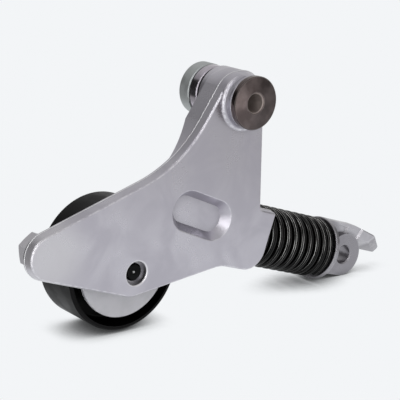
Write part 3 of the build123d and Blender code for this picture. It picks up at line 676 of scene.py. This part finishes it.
def turned(
    name: str,
    deep: Colour,
    pale: Colour,
    gloss: tuple[float, float],
    centre: Vector,
    light_core: PaintedLightCore = PaintedLightCore(),
    dish: float = 0.0,
    side_gloss: float = 1.0,
    **extra: object,
) -> Finish:
    """Describes a turned finish with grooves round an axis along Y.

    Args:
        name: The finish's name.
        deep: Its darker tone.
        pale: Its paler tone.
        gloss: Roughness of its smoother and of its rougher rings.
        centre: A point on the axis.
        light_core: Its painted light round the axis.
        dish: Slope of its end faces, as a rise per radius.
        side_gloss: Roughness of its sides, as a share of its ends' roughness.
        extra: Further fields of the finish.

    Returns:
        The finish.
    """
    sizes = {
        "Centre": tuple(centre),
        "Ring Pitch": 0.22 * MM,
        "Groove Depth": 0.004 * MM,
        "Light Core Radius": light_core.inside,
        "PaintedLightCore": opaque(light_core.colour),
        "Light Core Roughness": light_core.roughness,
        "Dish": dish,
        "Side Gloss": side_gloss,
    }
    relief = {"bump": 1.0, "bump_depth": 1.0}
    return Finish(name, Skin.TURNED, deep, pale, gloss, metallic=1.0, sizes=sizes, **relief, **extra)


def painted(name: str, deep: Colour, pale: Colour, gloss: tuple[float, float], **extra: object) -> Finish:
    """Describes a painted, coated or moulded finish.

    Args:
        name: The finish's name.
        deep: Its darker tone.
        pale: Its paler tone.
        gloss: Roughness where it is glossier and where it is duller.
        extra: Further fields of the finish.

    Returns:
        The finish.
    """
    sizes = {"Peel Size": 0.9 * MM, "Cloud Size": 9 * MM}
    relief = {"bump": 0.08, "bump_depth": 0.05 * MM}
    return Finish(name, Skin.PAINTED, deep, pale, gloss, metallic=0.0, sizes=sizes, **relief, **extra)


def bake_piece(maker: bpy.types.Object, name: str, material: bpy.types.Material) -> bpy.types.Object:
    """Turns an object with a live modifier into a plain piece.

    Args:
        maker: The object with the modifier.
        name: The piece's name.
        material: The piece's material.

    Returns:
        The piece, at the origin.
    """
    bpy.context.view_layer.update()
    graph = bpy.context.evaluated_depsgraph_get()
    mesh = bpy.data.meshes.new_from_object(maker.evaluated_get(graph))
    mesh.name = name
    bpy.data.objects.remove(maker)
    merged = bmesh.new()
    merged.from_mesh(mesh)
    bmesh.ops.remove_doubles(merged, verts=merged.verts, dist=WELD_DISTANCE)
    bmesh.ops.recalc_face_normals(merged, faces=merged.faces)
    merged.to_mesh(mesh)
    merged.free()
    mesh.materials.clear()
    mesh.materials.append(material)
    mesh.shade_smooth()
    piece = bpy.data.objects.new(name, mesh)
    bpy.context.scene.collection.objects.link(piece)
    return piece


def run_geometry(
    tree: bpy.types.NodeTree, mesh: bpy.types.Mesh, values: dict[str, object]
) -> bpy.types.Object:
    """Hangs a Geometry Nodes tree on a mesh with its inputs set.

    Args:
        tree: The tree.
        mesh: The mesh that it starts from.
        values: Its inputs, by name.

    Returns:
        The object, not evaluated yet.
    """
    maker = bpy.data.objects.new("maker", mesh)
    bpy.context.scene.collection.objects.link(maker)
    modifier = maker.modifiers.new("maker", "NODES")
    modifier.node_group = tree
    for item in tree.interface.items_tree:
        if item.item_type == "SOCKET" and item.in_out == "INPUT" and item.name in values:
            modifier[item.identifier] = values[item.name]
    return maker


def new_geometry(name: str, inputs: dict[str, str]) -> tuple[NodeTree, dict[str, Socket], Socket]:
    """Starts a Geometry Nodes tree that takes and gives geometry.

    Args:
        name: The tree's name.
        inputs: Kind of each further input, by name.

    Returns:
        The tree, its inputs by name, and its output.
    """
    group = bpy.data.node_groups.new(name, "GeometryNodeTree")
    group.interface.new_socket("Geometry", in_out="INPUT", socket_type="NodeSocketGeometry")
    for socket, kind in inputs.items():
        group.interface.new_socket(socket, in_out="INPUT", socket_type=kind)
    group.interface.new_socket("Geometry", in_out="OUTPUT", socket_type="NodeSocketGeometry")
    tree = NodeTree(group)
    given = tree.add("NodeGroupInput").outputs
    names = ["Geometry", *inputs]
    return tree, {n: given[n] for n in names}, tree.add("NodeGroupOutput").inputs["Geometry"]


def sweep_wire(
    tree: NodeTree, edges: Socket, radius: Socket, sides: int, material: Socket, wanted: Socket
) -> None:
    """Ends a tree by making a mesh's edges a round wire with closed ends.

    Args:
        tree: The tree.
        edges: The mesh of edges.
        radius: The wire's radius.
        sides: Number of sides of its section.
        material: Its material.
        wanted: The tree's output.
    """
    curve = tree.add("GeometryNodeMeshToCurve")
    tree.feed(curve.inputs["Mesh"], edges)
    section = tree.add("GeometryNodeCurvePrimitiveCircle")
    tree.feed(section.inputs["Resolution"], sides)
    tree.feed(section.inputs["Radius"], radius)
    tube = tree.add("GeometryNodeCurveToMesh")
    tree.feed(tube.inputs["Curve"], curve.outputs[0])
    tree.feed(tube.inputs["Profile Curve"], section.outputs[0])
    tree.feed(tube.inputs["Fill Caps"], True)
    real = tree.add("GeometryNodeRealizeInstances")
    tree.feed(real.inputs[0], tube.outputs[0])
    dressed = tree.add("GeometryNodeSetMaterial")
    tree.feed(dressed.inputs["Geometry"], real.outputs[0])
    tree.feed(dressed.inputs["Material"], material)
    tree.feed(wanted, dressed.outputs[0])


def coil_spring_tree() -> bpy.types.NodeTree:
    """Builds the tree of a coil spring with closed end turns, wound up the local Z axis.

    Returns:
        The Geometry Nodes tree.
    """
    numbers = ("Pitch", "Coil Radius", "Wire Radius", "End Turns", "Turns")
    inputs = {**dict.fromkeys(numbers, FLOAT), "Points": "NodeSocketInt", "Material": "NodeSocketMaterial"}
    tree, given, wanted = new_geometry("coil_spring_tree", inputs)
    wire = tree.add("GeometryNodeMeshLine")
    tree.feed(wire.inputs["Count"], given["Points"])
    number = tree.add("GeometryNodeInputIndex").outputs[0]
    share = tree.math("DIVIDE", number, tree.math("SUBTRACT", given["Points"], 1.0))
    turn = tree.math("MULTIPLY", share, given["Turns"])
    last = tree.math("SUBTRACT", given["Turns"], given["End Turns"])
    closed = tree.math("MULTIPLY", given["Wire Radius"], 2.0)
    first_rise = tree.math("MULTIPLY", tree.math("MINIMUM", turn, given["End Turns"]), closed)
    middle = tree.math("SUBTRACT", tree.math("MINIMUM", turn, last), given["End Turns"])
    middle_rise = tree.math("MULTIPLY", tree.math("MAXIMUM", middle, 0.0), given["Pitch"])
    last_rise = tree.math("MULTIPLY", tree.math("MAXIMUM", tree.math("SUBTRACT", turn, last), 0.0), closed)
    rise = tree.math("ADD", tree.math("ADD", first_rise, middle_rise), last_rise)
    angle = tree.math("MULTIPLY", turn, 2 * math.pi)
    spot = tree.add("ShaderNodeCombineXYZ")
    tree.feed(spot.inputs[0], tree.math("MULTIPLY", tree.math("COSINE", angle), given["Coil Radius"]))
    tree.feed(spot.inputs[1], tree.math("MULTIPLY", tree.math("SINE", angle), given["Coil Radius"]))
    tree.feed(spot.inputs[2], tree.math("ADD", rise, given["Wire Radius"]))
    placed = tree.add("GeometryNodeSetPosition")
    tree.feed(placed.inputs["Geometry"], wire.outputs[0])
    tree.feed(placed.inputs["Position"], spot.outputs[0])
    sweep_wire(tree, placed.outputs[0], given["Wire Radius"], WIRE_SIDES, given["Material"], wanted)
    return tree.tree


def bead_tree() -> bpy.types.NodeTree:
    """Builds the tree of a fine round bead along a mesh's edges.

    Returns:
        The Geometry Nodes tree.
    """
    inputs = {"Radius": FLOAT, "Material": "NodeSocketMaterial"}
    tree, given, wanted = new_geometry("bead_tree", inputs)
    sweep_wire(tree, given["Geometry"], given["Radius"], BEAD_SIDES, given["Material"], wanted)
    return tree.tree


@dataclass
class SubAssembly:
    """Group of the tensioner's pieces that is dressed together."""

    frame: dict
    made: list[str] = field(default_factory=list)

    def joint(self, name: str) -> dict:
        """Finds a joint of the record by its name."""
        return next(j for j in self.frame["joints"] if j["name"] == name)

    def dress(self, finish: Finish, *nodes: str) -> bpy.types.Material:
        """Gives CAD nodes a finish.

        Args:
            finish: The finish.
            nodes: The nodes' names.

        Returns:
            The built material.
        """
        material = finish.build()
        for node in nodes:
            for holder in self.frame["nodes"][node].material_slots:
                holder.material = material
            self.made.append(node)
        return material

    def report(self) -> None:
        """Logs each piece that the sub-assembly dressed or made."""
        for name in self.made:
            LOG.info("%s: %s", type(self).__name__, name)


@dataclass
class PivotJoint(SubAssembly):
    """Flanged sleeve, ring and spacer that stay on the engine, with bushes and seals."""

    def build(self) -> None:
        """Dresses the pivot's pieces."""
        centre = Vector((0, 0, 0))
        collar = turned(
            "phosphated_collar",
            (0.080, 0.062, 0.060),
            (0.165, 0.134, 0.130),
            (0.32, 0.46),
            centre,
            # painted light: a paler, rougher core inside the collar's bore
            light_core=PaintedLightCore(inside=5.6 * MM, colour=(0.34, 0.29, 0.27), roughness=0.6),
            edge=(0.5, 0.47, 0.44),
            anisotropic=0.6,
            anisotropic_turn=0.25,
            side_gloss=0.4,
            dish=-0.6,
        )
        self.dress(collar, "pivot_sleeve")
        tones = (0.42, 0.39, 0.43), (0.56, 0.52, 0.58)
        ring = turned("turned_ring", *tones, (0.25, 0.38), centre, side_gloss=0.5)
        self.dress(ring, "retainer_ring")
        spacer = turned("turned_spacer", (0.40, 0.42, 0.42), (0.50, 0.52, 0.52), (0.44, 0.56), centre)
        self.dress(spacer, "rear_spacer")
        self.dress(turned("bush_bronze", *BRONZE, centre), "front_bush", "rear_bush")
        rubber = painted("pivot_seal_rubber", grey(0.010), grey(0.022), (0.5, 0.7))
        self.dress(rubber, "front_seal", "rear_seal")


@dataclass
class CastArm(SubAssembly):
    """The arm's casting with the line that its die's halves leave round it."""

    parting_depth: float = 5.0 * MM
    bead_radius: float = 0.22 * MM
    tip: Vector = Vector((-0.122, 0, -0.070))

    def on_parting_plane(self, edge: bmesh.types.BMEdge) -> bool:
        """Tells whether an edge is the outline's ridge in the parting plane.

        Args:
            edge: An edge of the casting.

        Returns:
            True for an edge between two side walls in that plane.
        """
        level = all(abs(v.co.y - self.parting_depth) < PARTING_PLANE_SLACK for v in edge.verts)
        steep = all(abs(f.normal.y) < SIDE_WALL_MOST_FACING for f in edge.link_faces)
        joined = len(edge.link_faces) == 2
        return level and joined and steep and edge.calc_face_angle(0.0) > PARTING_LEAST_ANGLE

    def parting_edges(self) -> bpy.types.Mesh:
        """Finds the casting's outline in the plane where the die's halves met.

        Returns:
            A mesh of its edges.
        """
        body = bmesh.new()
        body.from_mesh(self.frame["nodes"]["tensioner_arm"].data)
        bmesh.ops.remove_doubles(body, verts=body.verts, dist=CASTING_WELD_DISTANCE)
        body.normal_update()
        line = [e for e in body.edges if self.on_parting_plane(e)]
        corners = sorted({v for e in line for v in e.verts}, key=lambda v: v.index)
        order = {corner: number for number, corner in enumerate(corners)}
        points = [tuple(v.co) for v in corners]
        pairs = [tuple(order[v] for v in e.verts) for e in line]
        mesh = bpy.data.meshes.new("parting_edges")
        mesh.from_pydata(points, pairs, [])
        body.free()
        return mesh

    def build(self) -> None:
        """Dresses the arm and adds the parting line."""
        bolt = Vector(self.joint("pulley_spin")["pos_m"])
        skin = cast(
            "cast_arm_skin",
            (0.445, 0.430, 0.478),
            (0.530, 0.515, 0.560),
            (0.27, 0.36),
            edge=(0.80, 0.79, 0.82),
            fillet_share=0.5,
            grime_share=0.65,
            marks=(
                # painted sheen: a paler patch round the arm's tip
                Spot((0.60, 0.59, 0.61), 0.7, self.tip, radius=6 * MM, feather=22 * MM),
                Spot((0.72, 0.71, 0.73), 0.8, bolt, radius=7.0 * MM, feather=0.6 * MM),
            ),
        )
        self.dress(skin, "tensioner_arm")
        material = cast("trimmed_flash", (0.66, 0.66, 0.67), (0.85, 0.85, 0.86), (0.3, 0.4)).build()
        values = {"Radius": self.bead_radius, "Material": material}
        maker = run_geometry(bead_tree(), self.parting_edges(), values)
        bead = bake_piece(maker, "parting_line", material)
        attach(bead, "arm")
        self.made.append(bead.name)


@dataclass
class IdlerPulley(SubAssembly):
    """Pulley with its bolt, dust shield and sealed bearing."""

    def build(self) -> None:
        """Dresses the pulley's pieces."""
        centre = Vector(self.joint("pulley_spin")["pos_m"])
        shell = painted(
            "pulley_coat",
            (0.0006, 0.0005, 0.0006),
            (0.0016, 0.0013, 0.0016),
            (0.36, 0.46),
            edge=(0.02, 0.02, 0.022),
            specular=0.10,
        )
        self.dress(shell, "pulley_shell")
        tones = (0.42, 0.415, 0.438), (0.465, 0.46, 0.485)
        shield = painted("shield_zinc", *tones, (0.42, 0.55), specular=0.3)
        self.dress(shield, "dust_shield")
        # painted highlight: a pale spot at the middle of the bolt's end
        end_highlight = PaintedLightCore(inside=0.6 * MM, colour=grey(0.45), roughness=0.3)
        bolt = turned("bolt_black", grey(0.006), grey(0.014), (0.3, 0.42), centre, light_core=end_highlight)
        self.dress(bolt, "pulley_bolt")
        ground = turned("bearing_ground", (0.5, 0.5, 0.52), (0.7, 0.7, 0.72), (0.12, 0.22), centre)
        self.dress(ground, "bearing_inner_ring", "bearing_outer_ring", "bearing_balls")
        self.dress(turned("sleeve_turned", grey(0.34), grey(0.5), (0.28, 0.4), centre), "bearing_sleeve")
        cage = painted("cage_nylon", (0.05, 0.06, 0.07), (0.09, 0.1, 0.11), (0.45, 0.6))
        self.dress(cage, "bearing_cage")
        rubber = painted("bearing_seal_rubber", grey(0.012), grey(0.024), (0.45, 0.65))
        self.dress(rubber, "bearing_seal_front", "bearing_seal_back")


@dataclass
class SpringStrut(SubAssembly):
    """Hydraulic strut inside a coil spring, between two cast mounts."""

    wire_radius: float = 2.3 * MM
    coil_radius: float = 16.1 * MM
    free_length: float = 70.0 * MM
    seat_to_eye: float = 21.5 * MM
    pitch: float = 6.1 * MM
    stroke: float = 10.0 * MM
    end_turns: float = 0.9
    finger_end: Vector = Vector((0.136, 0, -0.114))

    def build(self) -> None:
        """Dresses the strut's pieces and winds its spring."""
        pin = Vector(self.joint("strut_swing")["pos_m"])
        run = -Vector(self.joint("strut_slide")["axis"]).normalized()
        mounts = self.frame["record"]["mounts"]
        eye = next(Vector(m["pos_m"]) for m in mounts if m["name"] == "strut_eye")
        seat = pin + run * ((eye - pin).length - self.seat_to_eye)
        skin = cast(
            "cast_mount_skin",
            (0.44, 0.43, 0.455),
            (0.53, 0.52, 0.55),
            (0.24, 0.34),
            edge=(0.72, 0.71, 0.73),
            fillet_share=0.15,
            edge_share=0.3,
            grime_share=0.3,
            marks=(
                # painted shade: darker discs over the lower spring seat, the eye's lug and the finger's
                # end
                Spot((0.30, 0.29, 0.31), 0.9, seat, radius=19 * MM, feather=4 * MM),
                Spot((0.27, 0.26, 0.28), 0.9, eye, radius=12 * MM, feather=4 * MM),
                Spot((0.25, 0.24, 0.26), 0.9, self.finger_end, radius=9 * MM, feather=5 * MM),
            ),
        )
        self.dress(skin, "upper_mount", "lower_mount")
        steel = turned("damper_steel", (0.2, 0.2, 0.21), (0.36, 0.36, 0.37), (0.28, 0.4), pin)
        self.dress(steel, "damper_tube", "rod_guide", "damper_piston", "valve_cage", "pin_washer")
        chrome = turned("rod_chrome_finish", (0.6, 0.6, 0.61), (0.75, 0.75, 0.76), (0.08, 0.15), pin)
        self.dress(chrome, "plunger_rod", "valve_ball")
        tones = (0.012, 0.012, 0.013), (0.03, 0.03, 0.032)
        bolt = painted("pin_black", *tones, (0.3, 0.45), edge=(0.2, 0.2, 0.21))
        self.dress(bolt, "strut_pin")
        self.dress(turned("eye_bronze", *BRONZE, pin), "eye_bush")
        self.dress(painted("rod_seal_rubber", grey(0.012), grey(0.024), (0.45, 0.65)), "rod_seal")
        enamel = painted(
            "spring_enamel",
            grey(0.0004),
            (0.0012, 0.0010, 0.0010),
            (0.10, 0.16),
            specular=0.09,
            # painted highlight: two pale lines along the spring's wire
            marks=(WireHighlight((0.85, 0.84, 0.82), 0.9, pin, -run, leans=(0.40, 0.76), width=0.06),),
        )
        self.wind_spring(enamel, seat - run * self.free_length, run)

    def wind_spring(self, enamel: Finish, anchor: Vector, run: Vector) -> None:
        """Makes the spring with closed ends in place of the plain helix.

        Args:
            enamel: The spring's finish.
            anchor: Middle of its upper end.
            run: Direction from its upper end to its lower end.
        """
        material = self.dress(enamel, "coil_spring")
        open_length = self.free_length - 2 * self.wire_radius * (1 + 2 * self.end_turns)
        turns = open_length / self.pitch + 2 * self.end_turns
        values = {
            "Pitch": self.pitch,
            "Coil Radius": self.coil_radius,
            "Wire Radius": self.wire_radius,
            "End Turns": self.end_turns,
            "Turns": turns,
            "Points": int(turns * WIRE_POINTS_PER_TURN),
            "Material": material,
        }
        maker = run_geometry(coil_spring_tree(), bpy.data.meshes.new("spring_start"), values)
        spring = bake_piece(maker, "wound_spring", material)
        across = Vector((0, -1, 0))
        turn = Matrix((across, run.cross(across), run)).transposed().to_4x4()
        spring.data.transform(Matrix.Translation(anchor) @ turn)
        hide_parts("coil_spring")
        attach(spring, "strut")
        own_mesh(spring)
        self.made.append(spring.name)


@dataclass(frozen=True)
class Card:
    """One soft box or dark flag of the studio, with its angles in degrees."""

    azimuth: float
    elevation: float
    half_width: float
    half_height: float
    soft: float
    level: float

    def values(self) -> dict[str, object]:
        """Works out where the card is.

        Returns:
            The inputs of the card's group, by name.
        """
        turn, rise = math.radians(self.azimuth), math.radians(self.elevation)
        flat = math.cos(rise)
        middle = Vector((flat * math.cos(turn), flat * math.sin(turn), math.sin(rise)))
        across = middle.cross(Vector((0, 0, 1))).normalized()
        return {
            "Direction": middle,
            "Across": across / math.sin(math.radians(self.half_width)),
            "Upward": across.cross(middle) / math.sin(math.radians(self.half_height)),
            "Soft": self.soft,
            "Card": opaque(grey(self.level)),
        }


@dataclass
class Studio:
    """Pale floor, soft studio light all round and the camera."""

    lens_mm: float = 126.0
    position: Vector = Vector((-0.485198, -0.564847, 0.150817))
    right: Vector = Vector((0.784750, -0.618083, 0.046277))
    upward: Vector = Vector((0.131585, 0.239097, 0.962039))
    background: Colour = (0.896, 0.913, 0.930)
    floor_z: float = -0.1236
    floor_middle: Vector = Vector((0.02, -0.03, 0.0))
    floor_inner: float = 0.165
    floor_outer: float = 0.24
    shadow_reach: float = 0.019
    shadow_lean: Vector = Vector((0.22, -0.10, 0.95))
    shadow_open: tuple[float, float, float, float] = (0.05, 0.92, 0.04, 1.0)
    sky_level: float = 0.70
    horizon: tuple[float, float] = (-0.10, 0.06)

    def build(self) -> None:
        """Builds the camera, the world and the floor."""
        self.build_camera()
        self.build_world()
        self.build_floor()

    def build_camera(self) -> None:
        """Places the camera at the photograph's viewing angle."""
        data = bpy.data.cameras.new("camera")
        data.lens = self.lens_mm
        data.clip_start = 0.01
        camera = bpy.data.objects.new("camera", data)
        back = self.right.cross(self.upward)
        turn = Matrix((self.right, self.upward, back)).transposed().to_4x4()
        camera.matrix_world = Matrix.Translation(self.position) @ turn
        bpy.context.scene.collection.objects.link(camera)
        bpy.context.scene.camera = camera

    def cards(self) -> list[Card]:
        """Lists the studio's soft boxes and flags.

        Returns:
            The cards, each over the ones before it.
        """
        return [
            Card(152, 5, 36, 45, 1.6, 0.42),  # dims the casting's left walls
            Card(127, 9, 8, 26, 1.2, 0.02),  # darkens the sides of collar and ring
            Card(-41, -13, 21, 9, 1.8, 0.56),  # dims the arm's plate
            Card(-90, -6, 24, 14, 1.5, 1.35),  # lights the left of the collar's face
            Card(22, -18, 24, 10, 1.6, 0.55),  # dims faces turned to the right
            Card(-150, 14, 1.8, 34, 1.7, 6.5),  # strip light for coils and round sides
            Card(-115, 6, 1.6, 34, 1.7, 6.0),  # the same, farther to the front
            Card(-15, 22, 22, 14, 1.5, 0.32),  # darkens faces turned up and forwards
        ]

    def build_world(self) -> None:
        """Builds the studio round the object, as pale as the floor below the horizon."""
        world = bpy.data.worlds.new("studio")
        bpy.context.scene.world = world
        world.use_nodes = True
        tree = NodeTree(world.node_tree)
        world.node_tree.nodes.clear()
        above = tree.spread(tree.split(tree.coordinate("Generated"))["Z"], *self.horizon)
        shade = tree.blend(above, opaque(self.background), opaque(grey(self.sky_level)))
        for card in self.cards():
            shade = tree.place_group("studio_card", {"Shade": shade, **card.values()})["Shade"]
        path = tree.add("ShaderNodeLightPath")
        shade = tree.blend(path.outputs["Is Camera Ray"], shade, opaque(self.background))
        light = tree.add("ShaderNodeBackground")
        tree.feed(light.inputs["Color"], shade)
        out = tree.add("ShaderNodeOutputWorld")
        tree.feed(out.inputs["Surface"], light.outputs[0])

    def build_floor(self) -> None:
        """Builds the floor, which holds the shadow. The camera sees no more of it than that."""
        disc = bmesh.new()
        bmesh.ops.create_circle(disc, cap_ends=True, segments=FLOOR_SEGMENTS, radius=self.floor_outer)
        mesh = bpy.data.meshes.new("floor")
        disc.to_mesh(mesh)
        disc.free()
        mesh.transform(Matrix.Translation(self.floor_middle + Vector((0, 0, self.floor_z))))
        floor = bpy.data.objects.new("floor", mesh)
        bpy.context.scene.collection.objects.link(floor)
        material = bpy.data.materials.new("studio_floor")
        material.use_nodes = True
        material.node_tree.nodes.clear()
        tree = NodeTree(material.node_tree)
        near = tree.add("ShaderNodeAmbientOcclusion", samples=16)
        tree.feed(near.inputs["Distance"], self.shadow_reach)
        tree.feed(near.inputs["Normal"], self.shadow_lean)
        open_share = tree.spread(near.outputs["AO"], *self.shadow_open)
        glow = tree.add("ShaderNodeEmission")
        tree.feed(glow.inputs["Color"], tree.blend(open_share, BLACK, opaque(self.background)))
        apart = tree.vector("SUBTRACT", tree.coordinate(), self.floor_middle)
        reach = tree.vector("LENGTH", tree.vector("MULTIPLY", apart, (1.0, 1.0, 0.0)), output=1)
        alpha = tree.spread(reach, self.floor_inner, self.floor_outer, 1.0, 0.0)
        clear = tree.add("ShaderNodeBsdfTransparent")
        faded = tree.mix_shaders(alpha, clear, glow)
        veil = tree.add("ShaderNodeBsdfTransparent")
        shadow = tree.math("MULTIPLY", alpha, tree.math("SUBTRACT", 1.0, open_share))
        tree.feed(veil.inputs["Color"], tree.blend(shadow, WHITE, BLACK))
        path = tree.add("ShaderNodeLightPath")
        seen = tree.mix_shaders(path.outputs["Is Camera Ray"], faded, veil)
        out = tree.add("ShaderNodeOutputMaterial")
        tree.feed(out.inputs["Surface"], seen.outputs[0])
        mesh.materials.append(material)


GROUP_BUILDERS = (
    cast_grain_group,
    turned_rings_group,
    painted_skin_group,
    edge_highlight_group,
    fillet_highlight_group,
    recess_shade_group,
    wire_highlight_group,
    round_spot_group,
    studio_card_group,
)


def main() -> None:
    """Builds the dressed tensioner and its studio."""
    logging.basicConfig(level=logging.INFO, format="%(message)s")
    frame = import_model()
    for build_group in GROUP_BUILDERS:
        build_group()
    Studio().build()
    for section in (PivotJoint, CastArm, IdlerPulley, SpringStrut):
        part = section(frame)
        part.build()
        part.report()
    bpy.context.scene.view_settings.view_transform = "Standard"


if __name__ == "__main__":
    main()
